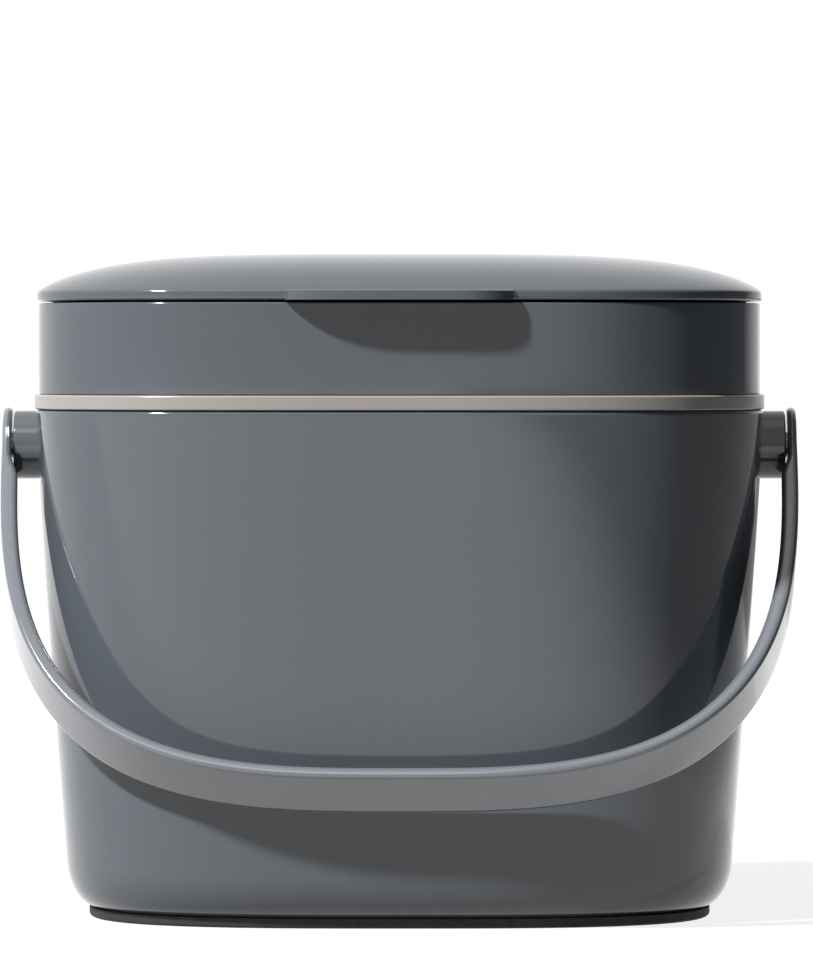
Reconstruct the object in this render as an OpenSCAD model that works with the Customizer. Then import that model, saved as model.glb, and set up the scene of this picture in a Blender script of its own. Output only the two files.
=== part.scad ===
// Compost caddy: a tapered bin with a swinging bail handle, a bag ring that drops into its
// mouth, and a lid that hinges on a rim sleeve over the bag ring.
// The origin is the centre of the foot on the table. +Z is up and -Y is the front.

/* [Bin] */
// Width of the bin at its rim, side to side
bin_w = 252; // [222:0.5:282]
// Depth of the bin at its rim, front to back
bin_d = 195; // [175:1:215]
// Height of the rim above the table
bin_h = 175; // [150:1:195]
// How far each side leans in between the rim and the base
bin_taper = 12.1; // [8:0.1:15]
// How strongly the sides bow: 1 is a straight lean
bin_bow = 1.18; // [1:0.02:1.6]
// Thickness of the moulded wall
bin_wall = 2; // [1.8:0.1:2.4]
// Thickness of the floor
bin_floor = 3; // [2.6:0.1:4]
// Height of the rounded corner between wall and base
corner_h = 14.5; // [11:0.5:18]
// How far the rounded corner tucks in under the wall
corner_in = 8.5; // [6:0.5:10]
// Squareness of the plan: 2 is an ellipse, more is squarer
plan_power = 3.1; // [2.6:0.1:3.6]

/* [Foot] */
// Height of the soft foot ring below the base
foot_h = 3.5; // [2.5:0.1:5]
// Width of the foot ring's band
foot_band = 10; // [9:0.5:13]
// How far the foot ring stands proud of the edge of the base
foot_proud = 2; // [0.5:0.5:3]
// Width of the tongue that holds the foot ring in the base
tongue_w = 3; // [2:0.5:4]
// Height of the tongue
tongue_h = 1.2; // [0.8:0.1:1.4]

/* [Pivots] */
// Radius of each pivot boss
boss_r = 11.8; // [10:0.1:12.5]
// Drop of the bosses' top below the rim
boss_drop = 0.9; // [0.5:0.1:3]
// How far each boss stands out from the side of the rim
boss_len = 8; // [7:0.5:11]
// Diameter of the handle's pivot stubs
stub_d = 9; // [6:0.5:11]
// Length of a stub inside its boss
stub_len = 6.3; // [5:0.1:6.5]
// Radial clearance of a stub in its bore
stub_fit = 0.05; // [0.03:0.01:0.09]
// Gap between a boss and the handle's eye
eye_gap = 0.6; // [0.4:0.1:1.2]

/* [Handle] */
// Reach of the strap's outer face below the pivots
handle_reach = 153.8; // [148:0.2:160]
// Squareness of the bail's outline
handle_power = 3.1; // [2.6:0.1:3.4]
// Radius of the eye at each end
eye_r = 13; // [12.5:0.1:14]
// Thickness of the eye
eye_t = 3.2; // [2.8:0.1:4]
// Thickness of the arms below the eyes
arm_t = 5.9; // [5:0.1:6.4]
// Thickness of the strap at the grip
grip_t = 4.6; // [4:0.1:5.6]
// Width of the strap along the arms
arm_w = 23; // [20:0.5:24]
// Width of the strap at the grip
grip_w = 21.2; // [18:0.1:24]
// Radius of the strap's long edges
strap_edge = 1.3; // [0.8:0.1:1.4]
// Gap between the hanging grip and the front of the bin
grip_gap = 0.6; // [0.4:0.1:3]

/* [Bag ring] */
// Depth of the skirt that drops into the bin
skirt_h = 15.8; // [12:0.1:20]
// Gap between the top of the skirt and the bin's wall
skirt_gap = 0.3; // [0.3:0.1:0.6]
// How far the skirt draws in at its foot
skirt_draft = 1.5; // [1.2:0.1:2]
// Height of the flange that sits on the rim
flange_h = 5; // [4:0.1:6]
// How far the flange stands proud of the rim
flange_proud = 0.3; // [0.1:0.1:1]
// Height of the neck above the flange
neck_h = 28.8; // [26:0.1:33]
// Inset of the neck's foot from the rim
neck_foot_in = 3.5; // [3.5:0.1:4]
// Inset of the neck's waist
neck_waist_in = 5.9; // [5.2:0.1:7]
// Inset of the neck's mouth
neck_top_in = 4.8; // [4.2:0.1:5.4]
// Height of the waist above the flange
waist_h = 15.5; // [13:0.5:19]
// Wall of the bag ring
ring_wall = 2.2; // [2:0.1:2.4]
// Diameter of the bag holes, front and back
hole_d = 16.7; // [14:0.1:18]
// Height of the hole's centre above the flange
hole_up = 15.4; // [14.4:0.1:16.4]
// Width of the raised bead round each hole
bead_w = 1.7; // [1.2:0.05:2.5]
// How far the bead stands proud of the waist
bead_proud = 0.8; // [0.4:0.1:1.4]
// Width of the locating tab under each hole
tab_w = 22.7; // [18:0.1:27]
// Height of the locating tab
tab_h = 5.4; // [4.4:0.1:5.8]
// How far the tab stands proud of the neck's foot
tab_proud = 0.9; // [0.5:0.1:0.9]
// Height of the grip ribs at the corners of the skirt
rib_h = 4.6; // [3:0.1:6]
// Drop of the ribs below the flange
rib_drop = 5.5; // [4:0.1:7]
// Gap between the ribs and the bin's wall
rib_gap = 0.25; // [0.2:0.05:0.35]

/* [Lid rim] */
// Height of the rim sleeve
rim_h = 31.4; // [30:0.1:35]
// Inset of the sleeve from the bin's rim
rim_in = 1.2; // [0.8:0.1:1.2]
// Wall of the sleeve
rim_wall = 2; // [1.8:0.1:2]
// Depth of the notch that clears the locating tab
notch_deep = 1; // [0.6:0.1:1.2]
// Gap round the locating tab in its notch
notch_gap = 1; // [0.5:0.1:1.5]
// Gap between the neck's mouth and the ledge above it
ledge_gap = 0.3; // [0.2:0.1:0.5]
// Width of the ledge that the seal sits on
ledge_w = 5.6; // [5:0.1:7]

/* [Lid] */
// Inset of the lid's lip from the bin's rim
lid_in = 0.6; // [0.2:0.1:1]
// Shadow gap between sleeve and lid
lid_gap = 0.7; // [0.6:0.1:1.4]
// Height of the lid's upright lip
lip_h = 3; // [2.6:0.1:3.6]
// Rise of the dome above the lip
dome_h = 13.2; // [11:0.1:18]
// Flatness of the dome's top: 2 is an even bowl, more is flatter
dome_power = 4.4; // [3:0.1:6]
// Roundness of the dome's edge: 1 is a straight slope, less is rounder
dome_round = 0.78; // [0.6:0.01:0.95]
// Wall of the lid
lid_wall = 2.4; // [2:0.1:2.8]
// Width of the thumb lip
thumb_w = 76.8; // [60:0.2:96]
// Reach of the thumb lip in front of the lid
thumb_reach = 10; // [6:0.5:13]
// Squareness of the thumb lip's outline: 2 is an ellipse, more is squarer
thumb_power = 3.8; // [2:0.1:5]

/* [Lid liner and seal] */
// Thickness of the liner
liner_t = 1.8; // [1.4:0.1:2.2]
// Width of the shoulder in the lid that the liner seats on
shoulder_w = 1.6; // [1.2:0.1:2]
// Side gap between liner and lid
liner_gap = 0.3; // [0.2:0.1:0.5]
// Gap between the liner's plug and the ledge
plug_gap = 1; // [0.7:0.1:1.6]
// Drop of the plug below the top of the sleeve
plug_drop = 2; // [1.8:0.1:2.2]
// Height of the panel above the foot of the plug
panel_up = 1.8; // [1:0.1:2.4]
// Free height of the seal
seal_t = 2; // [1.8:0.1:2.4]
// Width of the seal's soft bead
seal_bead = 2.4; // [1.6:0.1:3]

/* [Hinge] */
// Radius of the hinge knuckles
knuckle_r = 4; // [3.6:0.1:4.6]
// Width of the whole hinge
hinge_w = 64; // [50:1:80]
// Width of the lid's knuckle
lid_knuckle_w = 39.2; // [30:0.2:40]
// End gap between neighbouring knuckles
knuckle_gap = 0.4; // [0.3:0.1:0.8]
// Gap between the knuckles and the lid's lip
hinge_gap = 0.5; // [0.4:0.1:1]
// Diameter of the steel hinge pin
pin_d = 3; // [2.5:0.1:3.5]
// Radial clearance of the pin in the sleeve's knuckles
pin_tight = 0.02; // [0.01:0.01:0.04]
// Radial clearance of the pin in the lid's knuckle
pin_free = 0.06; // [0.05:0.01:0.09]

/* [Hidden] */
plan_n = 60;        // points round each plan section
chamfer = 0.6;      // small moulded edge
dip = 0.01;         // how far a cut starts outside its face

// Heights of the seats, from the table up
base_z = foot_h;
corner_z = base_z + corner_h;
pivot_z = bin_h - boss_drop - boss_r;
flange_z = bin_h + flange_h;
neck_z = flange_z + neck_h;
rim_z = flange_z + rim_h;
ledge_z = neck_z + ledge_gap;
lip_z = rim_z + lid_gap;
dome_z = lip_z + lip_h;
liner_z = rim_z + seal_t;
shoulder_z = liner_z + liner_t;
hinge_z = rim_z + lid_gap / 2;

// Insets from the bin's rim, measured inwards
rim_inner_in = rim_in + rim_wall;
ledge_in = rim_inner_in + ledge_w;
lid_inner_in = lid_in + lid_wall;
liner_in = lid_inner_in + liner_gap;
plug_in = ledge_in + plug_gap;
foot_in = wall_in(base_z) + corner_in - foot_proud;
groove_gap = 0.15;
tongue_in = foot_in + (foot_band + foot_proud - tongue_w) / 2;

// Hinge axis
hinge_y = bin_d / 2 - lid_in + hinge_gap + knuckle_r;

// Handle: half width over its outer faces, and the angle at which it hangs on the bin
eye_x = bin_w / 2 + boss_len + eye_gap;
handle_x = eye_x + eye_t;
grip_in = handle_reach - grip_t;
grip_r = norm([grip_in, grip_w / 2]);
grip_low = pivot_z - sqrt(pow(grip_r, 2) - pow(bin_d / 2, 2));
grip_front = bin_d / 2 - wall_in(grip_low) + grip_gap;
rest_angle = atan2(grip_w / 2, grip_in) + asin(grip_front / grip_r);

// ---- plan sections and lofts ----

// Inset of the bin's outer wall at height z
function wall_in(z) = bin_taper * pow(1 - z / bin_h, bin_bow);

// Point on a plan section of half sizes a and b, at angle t
function plan_at(a, b, t) =
    let (k = pow(pow(abs(cos(t)), plan_power) + pow(abs(sin(t)), plan_power), -1 / plan_power))
    [a * k * cos(t), b * k * sin(t)];

// A whole plan section, parallel to the bin's rim and set in from it
function plan(inset) =
    [for (i = [0 : plan_n - 1]) plan_at(bin_w / 2 - inset, bin_d / 2 - inset, i * 360 / plan_n)];

// A loft level set in from the bin's rim
function level(inset, z) = [bin_w / 2 - inset, bin_d / 2 - inset, z];

// A level of a dome: angle f climbs from 0 at its edge to 90 at its crown
function dome_level(edge_in, z, rise, f) =
    let (s = pow(cos(f), 2 / dome_power), h = pow(sin(f), 2 * dome_round))
    [(bin_w / 2 - edge_in) * s, (bin_d / 2 - edge_in) * s, z + rise * h];

// Levels of a quarter-round base corner, from the base up to the wall
function corner_levels(wall, depth, height, steps) =
    [for (i = [0 : steps]) let (f = 90 * i / steps, z = corner_z - height * cos(f))
        level(wall_in(z) + wall + depth * (1 - sin(f)), z)];

// Solid through a list of levels. An open loft is capped at its first and last level,
// and a closed one joins its last level to its first.
module loft(levels, closed = false) {
    last = len(levels) - 1;
    points = [for (l = levels, i = [0 : plan_n - 1])
        let (p = plan_at(l[0], l[1], i * 360 / plan_n)) [p[0], p[1], l[2]]];
    sides = [for (k = [0 : closed ? last : last - 1], i = [0 : plan_n - 1])
        let (j = (i + 1) % plan_n, lo = k * plan_n, hi = ((k + 1) % (last + 1)) * plan_n)
        each [[lo + i, hi + i, hi + j], [lo + i, hi + j, lo + j]]];
    caps = [[for (i = [0 : plan_n - 1]) i],
            [for (i = [0 : plan_n - 1]) last * plan_n + plan_n - 1 - i]];
    polyhedron(points, closed ? sides : concat(sides, caps), convexity = 8);
}

// Upright band between two insets
module band(outer_in, inner_in, z, height) {
    translate([0, 0, z])
        linear_extrude(height)
            difference() {
                polygon(plan(outer_in));
                polygon(plan(inner_in));
            }
}

// Round bar along X from x1 to x2
module bar_x(r, x1, x2) {
    translate([x1, 0, 0])
        rotate([0, 90, 0])
            cylinder(r = r, h = x2 - x1, $fn = 64);
}

// Copies its children to the front and, turned about, to the back
module front_and_back() {
    for (turn = [0, 180])
        rotate([0, 0, turn])
            children();
}

// Copies its children to the left and, mirrored, to the right
module both_sides() {
    for (side = [0, 1])
        mirror([side, 0, 0])
            children();
}

// ---- bin and foot ----

// Boss that carries one end of the handle, with its blind bore
module pivot_boss() {
    face_x = bin_w / 2 + boss_len;
    translate([0, 0, pivot_z]) {
        difference() {
            union() {
                bar_x(boss_r, bin_w / 2 - bin_wall * 0.9, face_x - chamfer);
                translate([face_x - chamfer - dip, 0, 0])
                    rotate([0, 90, 0])
                        cylinder(r1 = boss_r, r2 = boss_r - chamfer, h = chamfer + dip, $fn = 64);
            }
            bar_x(stub_d / 2 + stub_fit, face_x - stub_len - chamfer, face_x + 1);
        }
    }
}

module bin() {
    groove_out = tongue_in - groove_gap;
    groove_inner = tongue_in + tongue_w + groove_gap;
    groove_top = base_z + tongue_h + groove_gap;
    base = [level(groove_inner + 2, base_z), level(groove_inner, base_z),
            level(groove_inner, groove_top), level(groove_out, groove_top),
            level(groove_out, base_z)];
    wall_steps = 6;
    wall_top = bin_h - chamfer;
    outside = [for (i = [1 : wall_steps])
        let (z = corner_z + (wall_top - corner_z) * i / wall_steps) level(wall_in(z), z)];
    rim = [level(chamfer, bin_h), level(bin_wall, bin_h)];
    inside = [for (i = [wall_steps - 1 : -1 : 1])
        let (z = corner_z + (bin_h - corner_z) * i / wall_steps) level(wall_in(z) + bin_wall, z)];
    inner_corner = corner_levels(bin_wall, corner_in - bin_wall, corner_h - bin_floor, 3);
    color("#5d6168") {
        loft(concat(base, corner_levels(0, corner_in, corner_h, 4), outside, rim, inside,
                    [for (i = [3 : -1 : 0]) inner_corner[i]]));
        both_sides() pivot_boss();
    }
}

module foot_ring() {
    color("#3a3c3e") {
        band(foot_in, foot_in + foot_band, 0, foot_h);
        band(tongue_in, tongue_in + tongue_w, foot_h - dip, tongue_h + dip);
    }
}

// ---- bag ring ----

// Inset of the neck's outside at height h above the flange
function neck_in(h) = h < waist_h
    ? neck_waist_in - (neck_waist_in - neck_foot_in) * pow(1 - h / waist_h, 2)
    : neck_waist_in - (neck_waist_in - neck_top_in) * pow((h - waist_h) / (neck_h - waist_h), 2);

// Inset of the skirt's outside at drop d below the flange
function skirt_in(d) = bin_wall + skirt_gap + skirt_draft * d / skirt_h;

// Grip rib round one corner of the skirt
module skirt_rib() {
    top_z = bin_h - rib_drop;
    face_in = wall_in(top_z - rib_h) + bin_wall + rib_gap;
    back_in = skirt_in(rib_drop + rib_h) + ring_wall / 2;
    angles = [for (i = [4 : 8]) i * 360 / plan_n];
    translate([0, 0, top_z - rib_h])
        linear_extrude(rib_h)
            polygon(concat(
                [for (t = angles) plan_at(bin_w / 2 - face_in, bin_d / 2 - face_in, t)],
                [for (i = [4 : -1 : 0])
                    plan_at(bin_w / 2 - back_in, bin_d / 2 - back_in, angles[i])]));
}

// Locating tab with rounded top corners, on the front of the neck
module locating_tab() {
    corner = tab_h / 2;
    face_y = neck_foot_in - tab_proud - bin_d / 2;
    back_y = neck_foot_in + ring_wall - chamfer / 4 - bin_d / 2;
    translate([0, back_y, flange_z - dip])
        rotate([90, 0, 0])
            linear_extrude(back_y - face_y)
                union() {
                    translate([-tab_w / 2, 0])
                        square([tab_w, corner + dip]);
                    translate([corner - tab_w / 2, corner])
                        square([tab_w - tab_h, corner + dip]);
                    for (side = [-1, 1])
                        translate([side * (tab_w / 2 - corner), corner + dip])
                            circle(corner, $fn = 32);
                }
}

// Raised bead round the bag hole, on the front of the neck
module hole_bead() {
    face_y = neck_waist_in - bead_proud - bin_d / 2;
    back_y = neck_waist_in + ring_wall / 2 - bin_d / 2;
    translate([0, back_y, flange_z + hole_up])
        rotate([90, 0, 0])
            cylinder(r = hole_d / 2 + bead_w, h = back_y - face_y, $fn = 64);
}

module bag_ring() {
    neck_steps = 8;
    outside = [for (i = [0 : neck_steps])
        let (h = (neck_h - chamfer) * i / neck_steps) level(neck_in(h), flange_z + h)];
    inside = [for (i = [neck_steps : -2 : 0])
        let (h = (neck_h - chamfer) * i / neck_steps)
        level(neck_in(h) + ring_wall, flange_z + h)];
    flange = [level(skirt_in(0), bin_h), level(-flange_proud, bin_h),
              level(-flange_proud, flange_z - chamfer), level(chamfer - flange_proud, flange_z)];
    mouth = [level(neck_top_in + chamfer, neck_z), level(neck_top_in + ring_wall - chamfer, neck_z)];
    skirt = [level(skirt_in(skirt_h) + ring_wall, bin_h - skirt_h),
             level(skirt_in(skirt_h), bin_h - skirt_h)];
    color("#b3b0aa")
        difference() {
            union() {
                loft(concat(flange, outside, mouth, inside, skirt), closed = true);
                front_and_back() {
                    locating_tab();
                    hole_bead();
                    skirt_rib();
                    mirror([1, 0, 0]) skirt_rib();
                }
            }
            translate([0, 0, flange_z + hole_up])
                rotate([90, 0, 0])
                    cylinder(d = hole_d, h = bin_d, center = true, $fn = 64);
        }
}

// ---- lid rim, lid and hinge ----

// Knuckle of the sleeve between x1 and x2, with the gusset that carries it
module rim_knuckle(x1, x2) {
    wall_y = bin_d / 2 - rim_in - rim_wall / 2;
    low = knuckle_r * sqrt(0.5);
    translate([x1, 0, 0])
        rotate([90, 0, 90])
            linear_extrude(x2 - x1)
                polygon([[wall_y, rim_z], [hinge_y, rim_z], [hinge_y + low, hinge_z - low],
                         [hinge_y - low, hinge_z - low * 3], [wall_y, hinge_z - low * 5]]);
    translate([0, hinge_y, hinge_z])
        bar_x(knuckle_r, x1, x2);
}

module lid_rim() {
    sleeve = [level(rim_inner_in, flange_z), level(rim_in + chamfer, flange_z),
              level(rim_in, flange_z + chamfer), level(rim_in, rim_z - chamfer),
              level(rim_in + chamfer, rim_z), level(ledge_in, rim_z),
              level(ledge_in, ledge_z), level(rim_inner_in, ledge_z)];
    inner_x = lid_knuckle_w / 2 + knuckle_gap;
    color("#5d6168")
        difference() {
            union() {
                loft(sleeve, closed = true);
                rim_knuckle(-hinge_w / 2, -inner_x);
                rim_knuckle(inner_x, hinge_w / 2);
            }
            front_and_back()
                translate([-tab_w / 2 - notch_gap, rim_inner_in - notch_deep - bin_d / 2, flange_z - 1])
                    cube([tab_w + 2 * notch_gap, rim_wall, tab_h + notch_gap + 1]);
            translate([0, hinge_y, hinge_z])
                bar_x(pin_d / 2 + pin_tight, -hinge_w, hinge_w);
        }
}

// Outline of the thumb lip: the lid's own front edge, swelling forward in the middle
module thumb_outline() {
    steps = 20;
    half_d = bin_d / 2 - lid_in;
    half_w = bin_w / 2 - lid_in;
    function edge_y(x) = -half_d * pow(1 - pow(abs(x) / half_w, plan_power), 1 / plan_power);
    function swell(u) = thumb_reach * sqrt(1 - pow(abs(u), thumb_power));
    xs = [for (i = [-steps : steps]) thumb_w / 2 * sin(90 * i / steps)];
    polygon(concat(
        [for (x = xs) [x, edge_y(x) - swell(x / (thumb_w / 2))]],
        [for (i = [2 * steps : -1 : 0]) [xs[i], edge_y(xs[i]) + lid_wall / 2]]));
}

module lid() {
    dome_steps = 8;
    dome_angles = [for (i = [0 : dome_steps]) 86 * pow(i / dome_steps, 1.4)];
    inner_in = lid_inner_in + shoulder_w;
    inner_rise = dome_z + dome_h - lid_wall - shoulder_z;
    inside = [for (i = [dome_steps : -1 : 0])
        dome_level(inner_in, shoulder_z, inner_rise, dome_angles[i])];
    lip = [level(lid_inner_in, shoulder_z), level(lid_inner_in, lip_z),
           level(lid_in + chamfer / 2, lip_z), level(lid_in, lip_z + chamfer / 2)];
    outside = [for (f = dome_angles) dome_level(lid_in, dome_z, dome_h, f)];
    color("#6a6e75")
        difference() {
            union() {
                loft(concat(inside, lip, outside));
                translate([0, 0, lip_z])
                    linear_extrude(lip_h)
                        thumb_outline();
                translate([-lid_knuckle_w / 2, bin_d / 2 - lid_in - lid_wall / 2, lip_z])
                    cube([lid_knuckle_w, hinge_gap + knuckle_r + lid_wall / 2, lip_h]);
                translate([0, hinge_y, hinge_z])
                    bar_x(knuckle_r, -lid_knuckle_w / 2, lid_knuckle_w / 2);
            }
            translate([0, hinge_y, hinge_z])
                bar_x(pin_d / 2 + pin_free, -hinge_w, hinge_w);
        }
}

module lid_liner() {
    plug_z = rim_z - plug_drop;
    panel_z = plug_z + panel_up;
    skirt = 2 * liner_t / 3;
    color("#54575d")
        loft([level(plug_in + skirt + 1.5 * chamfer + 2, panel_z),
              level(plug_in + skirt + 2 * chamfer, panel_z),
              level(plug_in + skirt + chamfer, plug_z), level(plug_in + chamfer, plug_z),
              level(plug_in, plug_z + chamfer), level(plug_in, liner_z),
              level(liner_in, liner_z), level(liner_in, shoulder_z),
              level(plug_in + liner_t, shoulder_z),
              level(plug_in + liner_t + chamfer, panel_z + liner_t),
              level(plug_in + liner_t + chamfer + 2, panel_z + liner_t)]);
}

module lid_seal() {
    seal_out = lid_inner_in + shoulder_w + chamfer;
    bead_in = (seal_out + ledge_in - seal_bead) / 2;
    color("#2f3133") {
        band(seal_out, plug_in - liner_gap, rim_z + seal_t / 2, seal_t / 2);
        band(bead_in, bead_in + seal_bead, rim_z, seal_t / 2 + dip);
    }
}

module hinge_pin() {
    color("#c9ccd0")
        translate([0, hinge_y, hinge_z])
            bar_x(pin_d / 2, chamfer - hinge_w / 2, hinge_w / 2 - chamfer);
}

// ---- handle ----

// Place of a point of the bail: u across, v down the arm, q out through the strap's front edge
function bail_at(u, v, q) =
    [u, -v * sin(rest_angle) - q * cos(rest_angle),
     pivot_z - v * cos(rest_angle) + q * sin(rest_angle)];

// Thickness of the strap at v: thin at the eye, full below it, easing towards the grip
function strap_t(v) =
    let (ramp = min(1, max(0, (v - boss_r) / boss_r)), ease = pow(max(0, v) / handle_reach, 2))
    eye_t + ramp * (arm_t - eye_t - (arm_t - grip_t) * ease);

// Half width of the strap at v, round at the eye
function strap_half(v) =
    let (round_eye = sqrt(max(0, pow(eye_r, 2) - pow(v, 2))),
         strap = arm_w / 2 - (arm_w - grip_w) / 2 * max(0, v) / handle_reach)
    v < 0 ? round_eye : max(strap, round_eye);

// Section of the strap: distance p in from its outer face, and q across it
function strap_section(t, half) =
    let (e = min(strap_edge, half / 2),
         turns = [0, 45, 90],
         corners = [[t - e, half - e, 0], [e, half - e, 90], [e, e - half, 180], [t - e, e - half, 270]])
    [for (c = corners, a = turns) [c[0] + e * cos(c[2] + a), c[1] + e * sin(c[2] + a)]];

// Stations of the bail: [u, v, direction out through the outer face]
function bail_stations() =
    let (eye_steps = 6, arc_steps = 44,
         eye = [for (i = [0 : eye_steps - 1]) -eye_r * sin(82 * (1 - i / eye_steps))],
         arc = [for (i = [0 : arc_steps])
             let (s = 180 * i / arc_steps, c = cos(s), d = sin(s),
                  k = pow(pow(abs(c), handle_power) + pow(d, handle_power), -1 / handle_power),
                  g = [sign(c) * pow(abs(k * c), handle_power - 1) / handle_x,
                       pow(k * d, handle_power - 1) / handle_reach])
             [handle_x * k * c, handle_reach * k * d, g / norm(g)]])
    concat([for (v = eye) [handle_x, v, [1, 0]]], arc,
           [for (i = [eye_steps - 1 : -1 : 0]) [-handle_x, eye[i], [-1, 0]]]);

// The strap, swept through its stations
module strap() {
    stations = bail_stations();
    last = len(stations) - 1;
    n = 12;
    points = [for (s = stations, c = strap_section(strap_t(s[1]), strap_half(s[1])))
        bail_at(s[0] - s[2][0] * c[0], s[1] - s[2][1] * c[0], c[1])];
    sides = [for (k = [0 : last - 1], i = [0 : n - 1])
        let (j = (i + 1) % n, a = k * n, b = (k + 1) * n)
        each [[a + i, b + j, b + i], [a + i, a + j, b + j]]];
    ends = [[for (i = [n - 1 : -1 : 0]) i], [for (i = [0 : n - 1]) last * n + i]];
    polyhedron(points, concat(sides, ends), convexity = 6);
}

module handle() {
    tip_x = bin_w / 2 + boss_len - stub_len;
    color("#75797f") {
        strap();
        both_sides()
            translate([0, 0, pivot_z])
                bar_x(stub_d / 2, tip_x, handle_x - eye_t / 2);
    }
}

bin();
foot_ring();
bag_ring();
lid_rim();
lid();
lid_liner();
lid_seal();
hinge_pin();
handle();
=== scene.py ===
import math

import bmesh
import bpy
from mathutils import Matrix, Vector


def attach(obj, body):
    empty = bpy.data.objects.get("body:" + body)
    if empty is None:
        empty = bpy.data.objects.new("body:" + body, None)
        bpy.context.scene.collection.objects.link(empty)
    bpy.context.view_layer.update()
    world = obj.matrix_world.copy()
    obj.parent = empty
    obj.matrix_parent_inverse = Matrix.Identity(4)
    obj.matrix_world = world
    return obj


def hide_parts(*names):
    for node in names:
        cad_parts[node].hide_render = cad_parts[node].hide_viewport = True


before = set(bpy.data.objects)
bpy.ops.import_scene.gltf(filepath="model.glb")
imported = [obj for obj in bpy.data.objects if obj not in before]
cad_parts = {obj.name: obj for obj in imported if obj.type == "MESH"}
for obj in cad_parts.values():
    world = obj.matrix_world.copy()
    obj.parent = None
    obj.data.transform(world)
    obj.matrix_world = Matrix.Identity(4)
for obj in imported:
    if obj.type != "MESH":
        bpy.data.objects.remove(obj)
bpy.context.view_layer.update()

# Compost caddy: a tapered bin with a bail handle, a bag ring in its mouth, and a lid that
# hinges on a sleeve over the bag ring. Sizes are in millimetres up to the moment a piece is
# finished, with the origin at the centre of the foot, +Z up and -Y at the front.
MM = 0.001
ROUND_STEPS = 240       # steps of a full turn round the caddy
WELD = 0.0005           # vertices nearer than this are one
NEAR = 0.001            # on the middle plane or the axis, give or take
SHARP_EDGE = 42         # degrees from which an edge is shaded sharp

# ---- sizes ----

BIN_W, BIN_D, BIN_H = 252, 195, 175
HALF_W, HALF_D = BIN_W / 2, BIN_D / 2
BIN_TAPER, BIN_BOW = 12.1, 1.18
BIN_WALL, BIN_FLOOR = 2, 3
BIN_RIM_OUTER_R, BIN_RIM_INNER_R = 1.55, 0.35
CORNER_H, CORNER_IN = 14.5, 8.5
PLAN_POWER = 3.1

FOOT_H, FOOT_BAND, FOOT_PROUD, FOOT_R = 3.5, 10, 2, 0.9
TONGUE_W, TONGUE_H, GROOVE_GAP = 3, 1.2, 0.15

BOSS_R, BOSS_DROP, BOSS_LEN = 11.8, 0.9, 8
STUB_D, STUB_LEN, STUB_FIT, EYE_GAP = 9, 6.3, 0.05, 0.6

HANDLE_REACH, HANDLE_POWER = 153.8, 3.1
EYE_R, EYE_T, ARM_T, GRIP_T = 13, 3.2, 5.9, 4.6
ARM_W, GRIP_W, STRAP_EDGE, GRIP_GAP = 23, 21.2, 1.3, 0.6
STRAP_CROWN, STRAP_BACK_R, EYE_EASE = 0.35, 2.4, 1.2

SKIRT_H, SKIRT_GAP, SKIRT_DRAFT = 15.8, 0.3, 1.5
FLANGE_H, FLANGE_PROUD = 5, 0.3
NECK_H, NECK_FOOT_IN, NECK_WAIST_IN, NECK_TOP_IN, WAIST_H = 28.8, 3.5, 5.9, 4.8, 15.5
RING_WALL = 2.2
HOLE_D, HOLE_UP, BEAD_W, BEAD_PROUD = 16.7, 15.4, 1.7, 0.55
TAB_W, TAB_H, TAB_PROUD = 22.7, 5.4, 0.9
RIB_H, RIB_DROP, RIB_FROM, RIB_TO = 4.6, 5.5, 94, 119
RIB_SLOPE, RIB_PROUD = 0.5, 0.6

RIM_H, RIM_IN, RIM_WALL = 31.4, 1.2, 2
NOTCH_DEEP, NOTCH_GAP, LEDGE_GAP, LEDGE_W = 1, 1, 0.3, 5.6

LID_IN, LID_GAP, LIP_H = 0.6, 0.7, 3
DOME_H, DOME_POWER, DOME_ROUND, LID_WALL = 13.2, 4.4, 0.78, 2.4
THUMB_W, THUMB_REACH, THUMB_POWER = 76.8, 10, 3.8
THUMB_ROOT, THUMB_FLOW, THUMB_CLIMB = 2, 4.2, 1.9

LINER_T, SHOULDER_W, LINER_GAP, PLUG_GAP, PLUG_DROP, PANEL_UP = 1.8, 1.6, 0.3, 1, 2, 1.8
SEAL_T, SEAL_BEAD = 2, 2.4

KNUCKLE_R, HINGE_W, LID_KNUCKLE_W, KNUCKLE_GAP, HINGE_GAP = 4, 64, 39.2, 0.4, 0.5
PIN_D, PIN_TIGHT, PIN_FREE = 3, 0.02, 0.06
CHAMFER = 0.6

# Heights of the seats, from the table up
BASE_Z = FOOT_H
CORNER_Z = BASE_Z + CORNER_H
PIVOT_Z = BIN_H - BOSS_DROP - BOSS_R
FLANGE_Z = BIN_H + FLANGE_H
NECK_Z = FLANGE_Z + NECK_H
RIM_Z = FLANGE_Z + RIM_H
LEDGE_Z = NECK_Z + LEDGE_GAP
LIP_Z = RIM_Z + LID_GAP
DOME_Z = LIP_Z + LIP_H
LINER_Z = RIM_Z + SEAL_T
SHOULDER_Z = LINER_Z + LINER_T
HINGE_Z = RIM_Z + LID_GAP / 2
HOLE_Z = FLANGE_Z + HOLE_UP

# Insets from the bin's rim, measured inwards
RIM_INNER_IN = RIM_IN + RIM_WALL
LEDGE_IN = RIM_INNER_IN + LEDGE_W
LID_INNER_IN = LID_IN + LID_WALL
LINER_IN = LID_INNER_IN + LINER_GAP
PLUG_IN = LEDGE_IN + PLUG_GAP

# Insets down to which a wall runs parallel to the rim, for the rings, the bin, the foot and the lid
RING_CORE, BIN_CORE, FOOT_CORE, LID_CORE = 20, 26, 40, 4.6


def wall_in(z):
    """Inset of the bin's outer wall at height z."""
    return BIN_TAPER * max(0, 1 - z / BIN_H) ** BIN_BOW


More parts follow.
